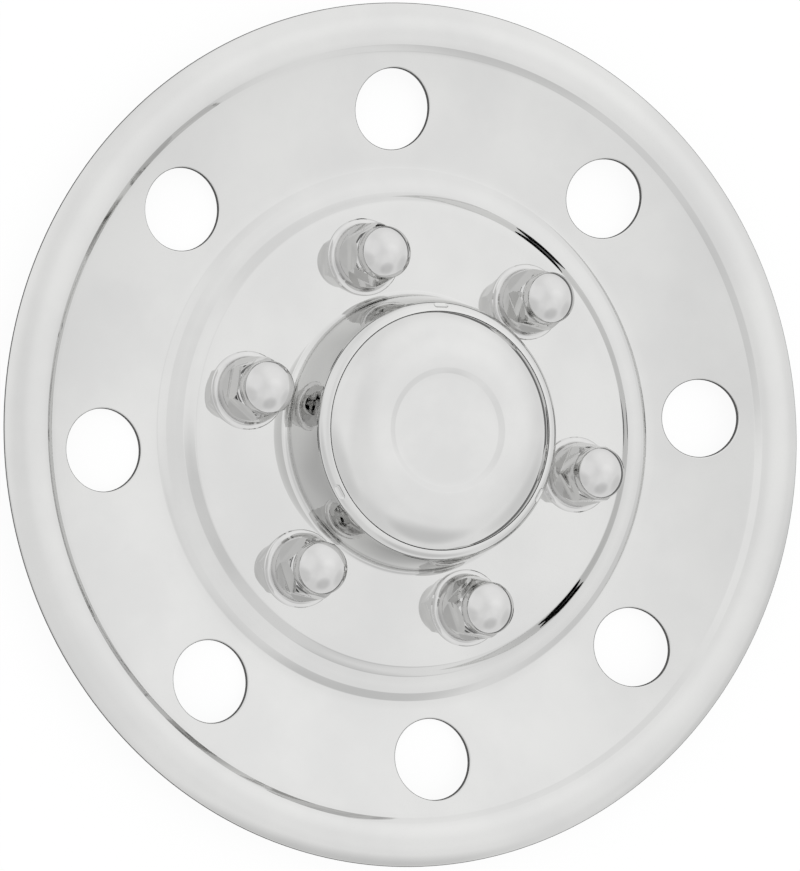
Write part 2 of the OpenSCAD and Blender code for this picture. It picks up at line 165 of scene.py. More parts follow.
class CapSizes(bpy.types.PropertyGroup):
    gap: length("Gap", "Gap between the cap and the collar's mouth", 0.0002)
    flat: length("Flat", "Radius of the flat crown", 0.0338)
    crown: length("Crown", "Radius of the curve next to the flat crown", 0.0494)
    crown_slope: angle("Crown slope", "Slope at which that curve ends", 17)
    knuckle: length("Knuckle", "Radius of the steeper curve towards the seam", 0.0227)
    turn: length("Turn", "Radius of the turn at the seam", 0.0012)
    sink: length("Sink", "Depth of the end of that turn below the collar's mouth", 0.0005)
    flange: length("Flange", "Width of the flange below the collar's shoulder", 0.003)
    fold: length("Fold", "Bend radius above that flange", 0.0003)
    recess: length("Recess radius", "Outer radius of the round recess", 0.0302)
    recess_wall: length("Recess wall", "Width of the recess's sloping wall", 0.0029)
    recess_depth: length("Recess depth", "Depth of the recess", 0.00105)
    recess_bend: length("Recess bend", "Bend radius along the recess", 0.0015)


class CoverSizes(bpy.types.PropertyGroup):
    circle: length("Lug circle", "Radius of the circle the lug covers lie on", 0.09)
    phase: angle("Lug phase", "Angle of the first lug cover", 104.4)
    wall: length("Wall", "Thickness of the cover's wall", 0.0008)
    flange: length("Flange", "Radius of the cover's flange", 0.019)
    flange_sheet: length("Flange thickness", "Thickness of the folded flange", 0.0012)
    flange_bevel: length("Flange bevel", "Chamfer around the flange's front", 0.00045)
    foot: length("Foot", "Radius of the fillet between flange and body", 0.0017)
    body: length("Body", "Radius of the round body at its foot", 0.0159)
    taper: angle("Taper", "Taper of the round body", 1.2)
    brow_height: length("Shoulder height", "Height at which the shoulder starts", 0.017)
    brow: length("Shoulder", "Radius of the shoulder's curve", 0.01)
    brow_slope: angle("Shoulder slope", "Slope of the shoulder at the dome, from the axis", 38)
    flat_low: length("Flat's foot", "Height at which each flat starts", 0.0065)
    flat_run: length("Flat's run", "Height above which each flat is plane", 0.013)
    flat_distance: length("Flat distance", "Distance between the axis and a flat at that height", 0.0138)
    flat_lean: angle("Flat lean", "Lean of each flat", 4)
    flat_bend: length("Flat bend", "Bend radius across a flat's lower end", 0.008)
    dome: length("Dome", "Radius of the short wall below the domed tip", 0.0127)
    dome_foot: length("Dome foot", "Radius of the fillet at the foot of that wall", 0.0025)
    dome_bend: length("Dome bend", "Radius of the curve between that wall and the crown", 0.0019)
    dome_height: length("Dome height", "Height of that curve's centre over the hub plate", 0.0285)
    crown: length("Crown", "Radius of the crown of the tip", 0.0175)
    neck: length("Neck", "Outer radius of the neck behind the liner", 0.0149)
    neck_length: length("Neck length", "Length of the neck behind the hub plate", 0.007)
    neck_gap: length("Neck gap", "Gap between the neck and its hole", 0.00015)
    turns: bpy.props.FloatVectorProperty(
        name="Turns", description="Turn of the six flats on each lug cover", size=LUG_COUNT,
        subtype="NONE", unit="ROTATION", default=[math.radians(a) for a in (57.5, 13.7, 27, 17, 14.9, 46.3)])


class Finishes(bpy.types.PropertyGroup):
    liner_dark: colour("Liner, dark", "Darker tone of the liner's polished steel", (0.655, 0.655, 0.65))
    liner_light: colour("Liner, light", "Lighter tone of the liner's polished steel", (0.70, 0.70, 0.692))
    cap_dark: colour("Cap, dark", "Darker tone of the cap's polished steel", (0.665, 0.665, 0.66))
    cap_light: colour("Cap, light", "Lighter tone of the cap's polished steel", (0.71, 0.71, 0.702))
    cover_dark: colour("Covers, dark", "Darker tone of the lug covers' plated steel", (0.64, 0.638, 0.635))
    cover_light: colour("Covers, light", "Lighter tone of the lug covers' plated steel", (0.68, 0.678, 0.672))
    spring: colour("Spring steel", "Colour of the push-on rings", (0.36, 0.36, 0.35))
    nylon: colour("Nylon", "Colour of the nut grips", (0.80, 0.78, 0.70))


class StudioSizes(bpy.types.PropertyGroup):
    lens: bpy.props.FloatProperty(
        name="Lens", description="Focal length of the camera", default=147.7, unit="CAMERA")
    eye: bpy.props.FloatVectorProperty(
        name="Camera place", description="Place of the camera", size=3,
        default=(-0.70854, -0.03814, 1.61564), subtype="TRANSLATION", unit="LENGTH")
    aim: bpy.props.FloatVectorProperty(
        name="Camera turn", description="Turn of the camera", size=3, subtype="EULER",
        default=[math.radians(a) for a in (2.5473, -23.4705, -3.3207)], unit="ROTATION")
    floor_radius: length("Floor radius", "Radius of the round floor", 4.0)
    floor_glow: factor("Floor glow", "Light of the floor itself, where the camera sees it", 0.93)
    floor_shadow: factor("Floor shadow", "Part of the floor's white that a shadow takes away", 0.075)
    floor_dull: factor("Floor in reflections", "Tone of the floor where the object reflects it", 0.2)
    tent: factor("Tent", "Plain light of the tent between its lamps", 0.97)


GROUPS = {
    "wheel_liner": LinerSizes,
    "wheel_collar": CollarSizes,
    "wheel_cap": CapSizes,
    "wheel_covers": CoverSizes,
    "wheel_finishes": Finishes,
    "wheel_studio": StudioSizes,
}


def arc(centre, radius, start, end, steps):
    """Points of an arc, with angles in radians."""
    turns = [start + (end - start) * i / steps for i in range(steps + 1)]
    return [Vector(centre) + radius * Vector((math.cos(t), math.sin(t))) for t in turns]


def turn_from(a, b):
    """Shortest turn from angle a to angle b."""
    return (b - a + 3 * math.pi) % FULL_TURN - math.pi


def corner(p, q, s, radius, steps):
    """Points of the arc that rounds corner q between p and s."""
    u, w = (p - q).normalized(), (s - q).normalized()
    half = u.angle(w) / 2
    centre = q + (u + w).normalized() * radius / math.sin(half)
    start = q + u * radius / math.tan(half) - centre
    end = q + w * radius / math.tan(half) - centre
    a = math.atan2(start.y, start.x)
    return arc(centre, radius, a, a + turn_from(a, math.atan2(end.y, end.x)), steps)


def bent(marks, steps=12):
    """A path through marks of x, y and an optional bend radius, with those corners rounded."""
    flat = [Vector(m[:2]) for m in marks]
    path = []
    for i, mark in enumerate(marks):
        if len(mark) == 2:
            path.append(flat[i])
        else:
            path += corner(flat[i - 1], flat[i], flat[i + 1], mark[2], steps)
    return path


def bow(p, q, radius, steps):
    """Points between p and q on a curve that bows to the left where the radius is positive."""
    p, q = Vector(p[:2]), Vector(q[:2])
    half, along = (q - p).length / 2, (q - p).normalized()
    side = Vector((-along.y, along.x)) * math.copysign(1, radius)
    centre = (p + q) / 2 - side * math.sqrt(radius * radius - half * half)
    a = math.atan2(p.y - centre.y, p.x - centre.x)
    b = math.atan2(q.y - centre.y, q.x - centre.x)
    return [tuple(v) for v in arc(centre, abs(radius), a, a + turn_from(a, b), steps)[1:-1]]


def beside(path, gap):
    """The path moved by a gap to its right."""
    moved = []
    for i, point in enumerate(path):
        u = (path[max(i, 1)] - path[max(i, 1) - 1]).normalized()
        w = (path[i + 1] - point).normalized() if i < len(path) - 1 else u
        moved.append(point + gap * Vector((u.y + w.y, -u.x - w.x)) / (1 + u.dot(w)))
    return moved


def filled(path, longest):
    """The path with points added, so that no stretch is longer than a given length."""
    full = [path[0]]
    for p, q in zip(path, path[1:]):
        parts = max(1, math.ceil((q - p).length / longest - 1e-6))
        full += [p + (q - p) * i / parts for i in range(1, parts + 1)]
    return full


def evened(path, degrees, longest):
    """The path with only the points that a turn in degrees or a longest stretch asks for."""
    path = filled(path, longest)
    turn = math.radians(degrees)
    kept = [path[0]]
    turned = 0
    for before, point, after in zip(path, path[1:], path[2:]):
        turned += abs((point - before).angle(after - point))
        if turned >= turn or (after - kept[-1]).length > longest:
            kept.append(point)
            turned = 0
    return kept + [path[-1]]


def from_origin(points):
    """Distance of each point from the origin, and the direction to it."""
    reach = np.linalg.norm(points, axis=1)
    return reach, points / np.maximum(reach, NO_LENGTH)[:, None]


class Turned:
    """A surface turned about an upright axis from a smooth path of radius and height."""

    def __init__(self, path, centre=(0, 0)):
        points = np.array([tuple(p) for p in path])
        along = np.diff(points, axis=0)
        size = np.linalg.norm(along, axis=1, keepdims=True)
        across = np.stack([-along[:, 1], along[:, 0]], axis=1) / size
        weights = size * across
        joined = np.zeros_like(points)
        joined[:-1] += weights
        joined[1:] += weights
        self.start, self.along, self.size2 = points[:-1], along, (size ** 2)[:, 0]
        self.normals = joined / np.linalg.norm(joined, axis=1, keepdims=True)
        self.centre = np.array(centre)

    def beam(self, flat):
        """Distance and direction from the axis."""
        return from_origin(flat)

    def near(self, points):
        """Distance to the surface, and its normal at the closest point."""
        reach, outward = self.beam(points[:, :2] - self.centre)
        flat = np.stack([reach, points[:, 2]], axis=1)
        gaps, normals = [], []
        for some in np.array_split(flat, max(1, len(flat) // BATCH)):
            offset = some[:, None] - self.start[None]
            part = np.clip((offset * self.along).sum(2) / self.size2, 0, 1)
            gap = np.linalg.norm(offset - part[..., None] * self.along, axis=2)
            best = gap.argmin(1)
            rows = np.arange(len(some))
            share = part[rows, best][:, None]
            gaps.append(gap[rows, best])
            normals.append(self.normals[best] * (1 - share) + self.normals[best + 1] * share)
        normal = np.concatenate(normals)
        return np.concatenate(gaps), np.column_stack([outward * normal[:, :1], normal[:, 1]])


class Faceted(Turned):
    """Six flats around an upright axis, all with the same path of distance and height."""

    def __init__(self, path, centre, turn):
        super().__init__(path, centre)
        turns = turn + np.arange(FLATS) * FULL_TURN / FLATS
        self.ways = np.stack([np.cos(turns), np.sin(turns)], axis=1)

    def beam(self, flat):
        reach = flat @ self.ways.T
        best = reach.argmax(1)
        return reach[np.arange(len(flat)), best], self.ways[best]


class Bore:
    """The wall of an upright round hole."""

    def __init__(self, centre, radius):
        self.centre, self.radius = np.array(centre), radius

    def near(self, points):
        reach, outward = from_origin(points[:, :2] - self.centre)
        return abs(reach - self.radius), np.column_stack([outward, np.zeros(len(points))])


class Flare:
    """The rounded front edge of a hand hole, which follows the dish of the disc."""

    def __init__(self, centre, hole, bend, height):
        self.centre, self.hole, self.bend, self.height = np.array(centre), hole, bend, height

    def near(self, points):
        reach, outward = from_origin(points[:, :2] - self.centre)
        depth = self.height(np.linalg.norm(points[:, :2], axis=1)) - points[:, 2]
        across, up = reach - self.hole - self.bend, self.bend - depth
        size = np.maximum(np.hypot(across, up), NO_LENGTH)
        beyond = np.maximum(across, 0) + np.maximum(-up, 0)
        normal = np.column_stack([outward * (across / size)[:, None], up / size])
        return abs(size - self.bend) + beyond, normal


class Bar:
    """The skin of a round-ended bar."""

    def __init__(self, middle, way, half, radius):
        self.middle, self.way, self.half, self.radius = np.array(middle), np.array(way), half, radius

    def near(self, points):
        offset = points - self.middle
        along = np.clip(offset @ self.way, -self.half, self.half)
        reach, normal = from_origin(offset - along[:, None] * self.way)
        return abs(reach - self.radius), normal


def set_true_normals(piece, surfaces):
    """Gives each face corner the normal of the smooth surface that its face lies on."""
    mesh = piece.data
    count = len(mesh.polygons)
    centres, facing = np.empty(count * 3), np.empty(count * 3)
    mesh.polygons.foreach_get("center", centres)
    mesh.polygons.foreach_get("normal", facing)
    centres, facing = centres.reshape(-1, 3), facing.reshape(-1, 3)
    scores = []
    for surface in surfaces:
        gap, normal = surface.near(centres)
        scores.append(gap + TURNED_AWAY * (1 - abs((normal * facing).sum(1))))
    chosen = np.argmin(scores, axis=0)
    sizes, corners = np.empty(count, dtype=int), np.empty(len(mesh.loops), dtype=int)
    mesh.polygons.foreach_get("loop_total", sizes)
    mesh.loops.foreach_get("vertex_index", corners)
    places = np.empty(len(mesh.vertices) * 3)
    mesh.vertices.foreach_get("co", places)
    places = places.reshape(-1, 3)[corners]
    owner = np.repeat(np.arange(count), sizes)
    result = facing[owner]
    for index, surface in enumerate(surfaces):
        mine = np.flatnonzero(chosen[owner] == index)
        if len(mine):
            normal = surface.near(places[mine])[1]
            way = np.sign((normal * facing[owner[mine]]).sum(1))
            result[mine] = normal * np.where(way == 0, 1, way)[:, None]
    mesh.normals_split_custom_set(result.tolist())


def start_clean():
    """Leaves edit mode and deselects everything."""
    if bpy.context.object and bpy.context.object.mode != "OBJECT":
        bpy.ops.object.mode_set(mode="OBJECT")
    bpy.ops.object.select_all(action="DESELECT")


def spun(name, paths, steps):
    """A closed outline, drawn point by point and spun about the upright axis."""
    outline = []
    for path in paths:
        outline += path[:-1]
    closed = (paths[-1][-1] - paths[0][0]).length < SAME_PLACE
    if not closed:
        outline.append(paths[-1][-1])
    start_clean()
    first = outline[0]
    bpy.ops.mesh.primitive_plane_add(size=0.001, location=(first.x, 0, first.y))
    piece = bpy.context.object
    piece.name = piece.data.name = name
    bpy.ops.object.transform_apply(location=True)
    bpy.ops.object.mode_set(mode="EDIT")
    bpy.ops.mesh.merge(type="CENTER")
    here = first
    for point in outline[1:]:
        step = point - here
        bpy.ops.mesh.extrude_region_move(TRANSFORM_OT_translate={"value": (step.x, 0, step.y)})
        here = point
    if closed:
        bpy.ops.mesh.select_all(action="DESELECT")
        bpy.ops.object.mode_set(mode="OBJECT")
        ends = [v for v in piece.data.vertices if sum(v.index in e.vertices for e in piece.data.edges) == 1]
        for vertex in ends:
            vertex.select = True
        bpy.ops.object.mode_set(mode="EDIT")
        bpy.ops.mesh.edge_face_add()
    bpy.ops.mesh.select_all(action="SELECT")
    bpy.ops.mesh.spin(steps=steps, angle=FULL_TURN, center=(0, 0, 0), axis=(0, 0, 1))
    bpy.ops.mesh.select_all(action="SELECT")
    bpy.ops.mesh.remove_doubles(threshold=SAME_PLACE)
    bpy.ops.mesh.normals_make_consistent(inside=False)
    bpy.ops.object.mode_set(mode="OBJECT")
    return piece


def cut(piece, cutter, operation="DIFFERENCE"):
    """Cuts a piece with another, which is used up."""
    start_clean()
    bpy.context.view_layer.objects.active = piece
    piece.select_set(True)
    modifier = piece.modifiers.new("Cut", "BOOLEAN")
    modifier.operation = operation
    modifier.solver = "MANIFOLD"
    modifier.object = cutter
    bpy.ops.object.modifier_apply(modifier=modifier.name)
    bpy.data.objects.remove(cutter)


def drill(name, places, radius, low, high):
    """Round cutters at several places, joined into one."""
    drills = []
    for x, y in places:
        start_clean()
        bpy.ops.mesh.primitive_cylinder_add(
            vertices=DRILL_SIDES, radius=radius, depth=high - low, location=(x, y, (low + high) / 2))
        drills.append(bpy.context.object)
    return joined(name, drills)


def stacked(name, sides, path, place=(0, 0)):
    """A closed many-sided piece, extruded ring by ring through a path of radius and height."""
    start_clean()
    first = path[0]
    bpy.ops.mesh.primitive_circle_add(
        vertices=sides, radius=first.x, fill_type="NGON", location=(*place, first.y))
    piece = bpy.context.object
    piece.name = name
    bpy.ops.object.transform_apply(location=True)
    bpy.ops.object.mode_set(mode="EDIT")
    bpy.ops.mesh.select_all(action="SELECT")
    for before, point in zip(path, path[1:]):
        bpy.ops.mesh.extrude_region_move(TRANSFORM_OT_translate={"value": (0, 0, point.y - before.y)})
        ratio = point.x / before.x
        bpy.ops.transform.resize(value=(ratio, ratio, 1), center_override=(*place, point.y))
    bpy.ops.mesh.select_all(action="SELECT")
    bpy.ops.mesh.normals_make_consistent(inside=False)
    bpy.ops.object.mode_set(mode="OBJECT")
    return piece


def joined(name, pieces):
    """Several pieces made one, with their places in the mesh."""
    start_clean()
    for piece in pieces:
        piece.select_set(True)
    bpy.context.view_layer.objects.active = pieces[0]
    if len(pieces) > 1:
        bpy.ops.object.join()
    bpy.ops.object.transform_apply(location=True, rotation=True, scale=True)
    pieces[0].name = name
    return pieces[0]


def around(count, radius, phase, step_sign=1):
    """Places on a circle."""
    return [(radius * math.cos(phase + step_sign * i * FULL_TURN / count),
             radius * math.sin(phase + step_sign * i * FULL_TURN / count)) for i in range(count)]


def finish_piece(piece, material, slot, *nodes):
    """Gives a piece its finish, and lets it stand for CAD nodes."""
    piece.data.materials.clear()
    piece.data.materials.append(material)
    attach(piece, "root")
    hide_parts(*nodes)


def shader_node(tree, kind, sockets=None, **settings):
    """A node with its settings, and its sockets filled with values or links."""
    made = tree.nodes.new(kind)
    for name, value in settings.items():
        setattr(made, name, value)
    for name, value in (sockets or {}).items():
        if isinstance(value, bpy.types.NodeSocket):
            tree.links.new(value, made.inputs[name])
        else:
            made.inputs[name].default_value = value
    return made


def math_node(tree, operation, *values):
    """The result of a sum, product or the like of numbers and sockets."""
    return shader_node(tree, "ShaderNodeMath", dict(enumerate(values)), operation=operation).outputs[0]


def ramp_node(tree, value, low, high, to_low=0.0, to_high=1.0, kind="SMOOTHSTEP"):
    """A value carried over from one range to another, and held at its ends."""
    return shader_node(tree, "ShaderNodeMapRange", {
        "Value": value, "From Min": low, "From Max": high, "To Min": to_low, "To Max": to_high},
        interpolation_type=kind).outputs[0]


def noise_node(tree, where, scale, detail, **sockets):
    """Smooth noise, with its scale per metre."""
    sockets = {name.replace("_", " "): value for name, value in sockets.items()}
    return shader_node(tree, "ShaderNodeTexNoise", {
        "Vector": where, "Scale": scale, "Detail": detail, **sockets}).outputs[0]


def tint(tree, share, dark, light):
    """Colours the tree's surface between a dark and a light tone."""
    mix = tree.nodes.new("ShaderNodeMix")
    mix.data_type = "RGBA"
    tree.links.new(share, mix.inputs[0])
    mix.inputs[6].default_value = (*dark, 1)
    mix.inputs[7].default_value = (*light, 1)
    tree.links.new(mix.outputs[2], tree.nodes["Principled BSDF"].inputs["Base Color"])


def new_group(name, inputs, outputs):
    """An empty shader group with named float and vector sockets."""
    group = bpy.data.node_groups.new(name, "ShaderNodeTree")
    for title, kind, default in inputs:
        socket = group.interface.new_socket(name=title, in_out="INPUT", socket_type=kind)
        if default is not None:
            socket.default_value = default
    for title, kind in outputs:
        group.interface.new_socket(name=title, in_out="OUTPUT", socket_type=kind)
    return group, group.nodes.new("NodeGroupInput"), group.nodes.new("NodeGroupOutput")


def polish_group():
    """Polishing marks that run round the axis, with haze that breaks them up."""
    name = "Polishing marks"
    if name in bpy.data.node_groups:
        return bpy.data.node_groups[name]
    group, given, result = new_group(
        name,
        [("Vector", "NodeSocketVector", None), ("Line Width", "NodeSocketFloat", 0.0006),
         ("Haze Size", "NodeSocketFloat", 0.05)],
        [("Tone", "NodeSocketFloat"), ("Haze", "NodeSocketFloat"), ("Height", "NodeSocketFloat")])
    parts = shader_node(group, "ShaderNodeSeparateXYZ", {"Vector": given.outputs["Vector"]}).outputs
    squares = [math_node(group, "MULTIPLY", part, part) for part in (parts[0], parts[1])]
    reach = math_node(group, "SQRT", math_node(group, "ADD", *squares))
    drop = math_node(group, "ADD", reach, math_node(group, "MULTIPLY", parts[2], 0.7))
    lines = shader_node(group, "ShaderNodeTexNoise", {
        "W": math_node(group, "DIVIDE", drop, given.outputs["Line Width"]),
        "Scale": 1.0, "Detail": 3.0, "Roughness": 0.6}, noise_dimensions="1D").outputs[0]
    per_size = math_node(group, "DIVIDE", 1.0, given.outputs["Haze Size"])
    haze = noise_node(group, given.outputs["Vector"], per_size, 4.0, Roughness=0.55)
    fine = noise_node(group, given.outputs["Vector"], math_node(group, "MULTIPLY", per_size, 9.0), 2.0)
    soft = ramp_node(group, haze, 0.3, 0.7)
    both = math_node(
        group, "ADD", math_node(group, "MULTIPLY", soft, 0.65), math_node(group, "MULTIPLY", fine, 0.35))
    group.links.new(soft, result.inputs["Tone"])
    group.links.new(both, result.inputs["Haze"])
    group.links.new(math_node(group, "MULTIPLY", lines, haze), result.inputs["Height"])
    return group


def sheet_group():
    """The faint waviness of a pressed and polished sheet."""
    name = "Pressed sheet"
    if name in bpy.data.node_groups:
        return bpy.data.node_groups[name]
    group, given, result = new_group(
        name,
        [("Vector", "NodeSocketVector", None), ("Wave Size", "NodeSocketFloat", 0.04)],
        [("Height", "NodeSocketFloat")])
    per_size = math_node(group, "DIVIDE", 1.0, given.outputs["Wave Size"])
    waves = noise_node(group, given.outputs["Vector"], per_size, 1.0, Roughness=0.4)
    group.links.new(waves, result.inputs["Height"])
    return group


def polished_steel(name, dark, light, *, centre=(0, 0, 0), smooth, rough, line_width, haze_size, wave_size,
                   wave_height, lathe=0.0):
    """Mirror-polished steel, with its marks round an upright axis at a centre; lengths in metres."""
    material = bpy.data.materials.new(name)
    material.use_nodes = True
    tree = material.node_tree
    shader = tree.nodes["Principled BSDF"]
    where = shader_node(tree, "ShaderNodeTexCoord").outputs["Object"]
    where = shader_node(tree, "ShaderNodeMapping", {
        "Vector": where, "Location": -Vector(centre)}).outputs["Vector"]
    marks = shader_node(tree, "ShaderNodeGroup", node_tree=polish_group())
    tree.links.new(where, marks.inputs["Vector"])
    marks.inputs["Line Width"].default_value = line_width
    marks.inputs["Haze Size"].default_value = haze_size
    tint(tree, marks.outputs["Tone"], dark, light)
    shader.inputs["Metallic"].default_value = 1.0
    gloss = ramp_node(tree, marks.outputs["Haze"], 0.2, 0.8, smooth, rough, "LINEAR")
    tree.links.new(gloss, shader.inputs["Roughness"])
    shader.inputs["Anisotropic"].default_value = lathe
    waves = shader_node(tree, "ShaderNodeGroup", node_tree=sheet_group())
    tree.links.new(where, waves.inputs["Vector"])
    waves.inputs["Wave Size"].default_value = wave_size
    broad = shader_node(tree, "ShaderNodeBump", {
        "Height": waves.outputs["Height"], "Strength": 1.0, "Distance": wave_height})
    fine = shader_node(tree, "ShaderNodeBump", {
        "Height": marks.outputs["Height"], "Strength": 0.5, "Distance": MARK_HEIGHT,
        "Normal": broad.outputs["Normal"]})
    tree.links.new(fine.outputs["Normal"], shader.inputs["Normal"])
    return material


def speckled(name, colour, spread, stain, grain, gloss, bump):
    """Stained and grained material: stain and grain as scale and detail, bump as strength and height."""
    material = bpy.data.materials.new(name)
    material.use_nodes = True
    tree = material.node_tree
    shader = tree.nodes["Principled BSDF"]
    where = shader_node(tree, "ShaderNodeTexCoord").outputs["Object"]
    tint(tree, noise_node(tree, where, *stain), *([c * share for c in colour] for share in spread))
    speckle = noise_node(tree, where, *grain)
    tree.links.new(ramp_node(tree, speckle, 0.3, 0.7, *gloss), shader.inputs["Roughness"])
    raised = shader_node(tree, "ShaderNodeBump", {
        "Height": speckle, "Strength": bump[0], "Distance": bump[1]})
    tree.links.new(raised.outputs["Normal"], shader.inputs["Normal"])
    return material, shader


def collar_shoulder():
    """Centre and front face of the collar's rounded shoulder."""
    liner, collar = bpy.context.scene.wheel_liner, bpy.context.scene.wheel_collar
    plate = liner.edge_height - liner.plate_drop
    centre = Vector((collar.mouth, plate + collar.height - collar.shoulder))
    return centre, arc(centre, collar.shoulder, RIGHT_ANGLE, collar.lean, 30)


def disc_face():
    """Front face of the dished disc between its corners, from the valley out."""
    liner = bpy.context.scene.wheel_liner
    plate = liner.edge_height - liner.plate_drop
    valley = Vector((liner.valley_radius,
                     plate - liner.inner_wall_height - liner.ledge_fall - liner.outer_wall_height))
    step_foot = Vector((liner.outer_radius - liner.band_width - liner.step_width,
                        liner.edge_height + liner.band_rise - liner.step_height))
    return [valley] + [Vector(p) for p in bow(valley, step_foot, -liner.dish, 24)] + [step_foot]


def liner_face():
    """Front face of the liner, from the collar's mouth out and round the rolled edge."""
    liner, collar = bpy.context.scene.wheel_liner, bpy.context.scene.wheel_collar
    plate = liner.edge_height - liner.plate_drop
    shoulder = collar_shoulder()[1]
    top = shoulder[-1]
    wall_foot = Vector((top.x + collar.spread, plate))
    belly_turn = collar.lean - math.atan(collar.spread / (top.y - plate))
    belly = (wall_foot - top).length / 2 / math.sin(belly_turn)
    disc = disc_face()
    ledge = plate - liner.inner_wall_height
    ledge_out = (liner.valley_radius - liner.outer_wall, ledge - liner.ledge_fall, liner.ring_bend)
    ledge_in = (ledge_out[0] - liner.ledge, ledge, liner.ring_bend)
    plate_edge = (ledge_in[0] - liner.inner_wall, plate, liner.ring_bend)
    step_top = (liner.outer_radius - liner.band_width, liner.edge_height + liner.band_rise, liner.step_bend)
    edge = arc((liner.outer_radius - liner.edge_fold, liner.edge_height), liner.edge_fold,
               RIGHT_ANGLE - liner.band_slope, -liner.flange_lean, 24)
    foot = edge[-1].x - edge[-1].y * math.tan(liner.flange_lean)
    bend = liner.foot_bend + liner.sheet
    return bent(
        [tuple(p) for p in shoulder]
        + bow(top, wall_foot, belly, 8)
        + [(*wall_foot, collar.foot), plate_edge, ledge_in, ledge_out, (*disc[0], liner.ring_bend)]
        + [tuple(p) for p in disc[1:-1]]
        + [(*disc[-1], liner.step_bend), step_top]
        + bow(step_top, tuple(edge[0]), liner.band_crown, 16)
        + [tuple(p) for p in edge]
        + [(foot, 0, bend), (foot - liner.foot_lip - liner.foot_bend, 0)])


def cap_face():
    """Front face of the cap, from its centre out to the end of its flange."""
    scene = bpy.context.scene
    liner, collar, cap = scene.wheel_liner, scene.wheel_collar, scene.wheel_cap
    mouth_height = liner.edge_height - liner.plate_drop + collar.height
    outer = collar.mouth - cap.gap
    crown = Vector((cap.flat, -cap.crown))
    bearing = RIGHT_ANGLE - cap.crown_slope
    knuckle = crown + (cap.crown - cap.knuckle) * Vector((math.cos(bearing), math.sin(bearing)))
    end = math.asin((outer - cap.turn - knuckle.x) / (cap.knuckle - cap.turn))
    seam = knuckle + (cap.knuckle - cap.turn) * Vector((math.sin(end), math.cos(end)))
    rise = mouth_height - cap.sink - seam.y
    rim = outer + cap.flange
    shoulder = collar_shoulder()[0]
    back = math.sqrt((collar.shoulder - liner.sheet) ** 2 - (rim - collar.mouth) ** 2)
    low = shoulder.y + back - cap.gap - rise
    path = bent(
        [(0, -cap.recess_depth), (cap.recess - cap.recess_wall, -cap.recess_depth, cap.recess_bend),
         (cap.recess, 0, cap.recess_bend)]
        + [tuple(p) for p in arc(crown, cap.crown, RIGHT_ANGLE, bearing, 12)]
        + [tuple(p) for p in arc(knuckle, cap.knuckle, bearing, RIGHT_ANGLE - end, 24)[1:]]
        + [tuple(p) for p in arc(seam, cap.turn, RIGHT_ANGLE - end, 0, 20)[1:]]
        + [(outer, low, cap.fold), (rim, low)])
    return [p + Vector((0, rise)) for p in path]


def cover_shoulder(radius):
    """The curve in which a cover's round body turns in towards its tip."""
    sizes = bpy.context.scene.wheel_covers
    foot = sizes.flange_sheet + sizes.foot
    body = sizes.body - (sizes.brow_height - foot) * math.tan(sizes.taper)
    return arc((body - sizes.brow, sizes.brow_height), radius, sizes.taper, sizes.brow_slope, 16)


def cover_dome(inset):
    """The smooth run from the shoulder's end over the domed tip, moved in by an inset."""
    sizes = bpy.context.scene.wheel_covers
    shoulder_end = cover_shoulder(sizes.brow - inset)[-1]
    wall = sizes.dome - inset
    meet = Vector((wall, shoulder_end.y + (shoulder_end.x - wall) / math.tan(sizes.brow_slope)))
    bend = Vector((sizes.dome - sizes.dome_bend, sizes.dome_height))
    lean = math.asin(bend.x / (sizes.crown - sizes.dome_bend))
    crown = Vector((0, bend.y - (sizes.crown - sizes.dome_bend) * math.cos(lean)))
    side = arc(bend, sizes.dome_bend - inset, 0, RIGHT_ANGLE - lean, 16)
    foot = corner(shoulder_end, meet, side[0], sizes.dome_foot + inset, 6)
    return foot + side + arc(crown, sizes.crown - inset, RIGHT_ANGLE - lean, RIGHT_ANGLE, 16)[1:]


def cover_skin():
    """Smooth runs of a lug cover's outside, from its neck's end to the tip of its dome."""
    s = bpy.context.scene.wheel_covers
    sheet = bpy.context.scene.wheel_liner.sheet
    foot = s.flange_sheet + s.foot
    marks = [
        (s.neck, -sheet - s.neck_length), (s.neck, 0), (s.flange, 0),
        (s.flange, s.flange_sheet - s.flange_bevel), (s.flange - s.flange_bevel, s.flange_sheet)]
    corners = [Vector(mark) for mark in marks]
    return [list(pair) for pair in zip(corners, corners[1:])] + [
        [corners[-1]]
        + arc((s.body + s.foot, foot), s.foot, -RIGHT_ANGLE, -math.pi, 16)
        + cover_shoulder(s.brow) + cover_dome(0),
    ]


def cover_hollow():
    """Smooth runs of the hollow inside a lug cover, from its floor to the tip of its dome."""
    s = bpy.context.scene.wheel_covers
    foot = s.flange_sheet + s.foot
    return [
        [Vector((0, s.flange_sheet)), Vector((s.neck - s.wall, s.flange_sheet))],
        [Vector((s.neck - s.wall, s.flange_sheet)), Vector((s.body - s.wall, foot))]
        + cover_shoulder(s.brow - s.wall) + cover_dome(s.wall),
    ]


def flat_face(inset):
    """Path of a flat, as distances from the axis and heights."""
    s = bpy.context.scene.wheel_covers
    foot = s.flange_sheet + s.foot
    low = Vector((s.body - (s.flat_low - foot) * math.tan(s.taper), s.flat_low))
    run = Vector((s.flat_distance, s.flat_run))
    top = s.dome_height + s.dome + OVERCUT
    high = Vector((s.flat_distance - (top - s.flat_run) * math.tan(s.flat_lean), top))
    ramp = (run - low) / (run.y - low.y)
    first = low - ramp * (low.y - foot)
    return bent([
        (first.x - inset, first.y), (run.x - inset, run.y, s.flat_bend), (high.x - inset, high.y)], 10)


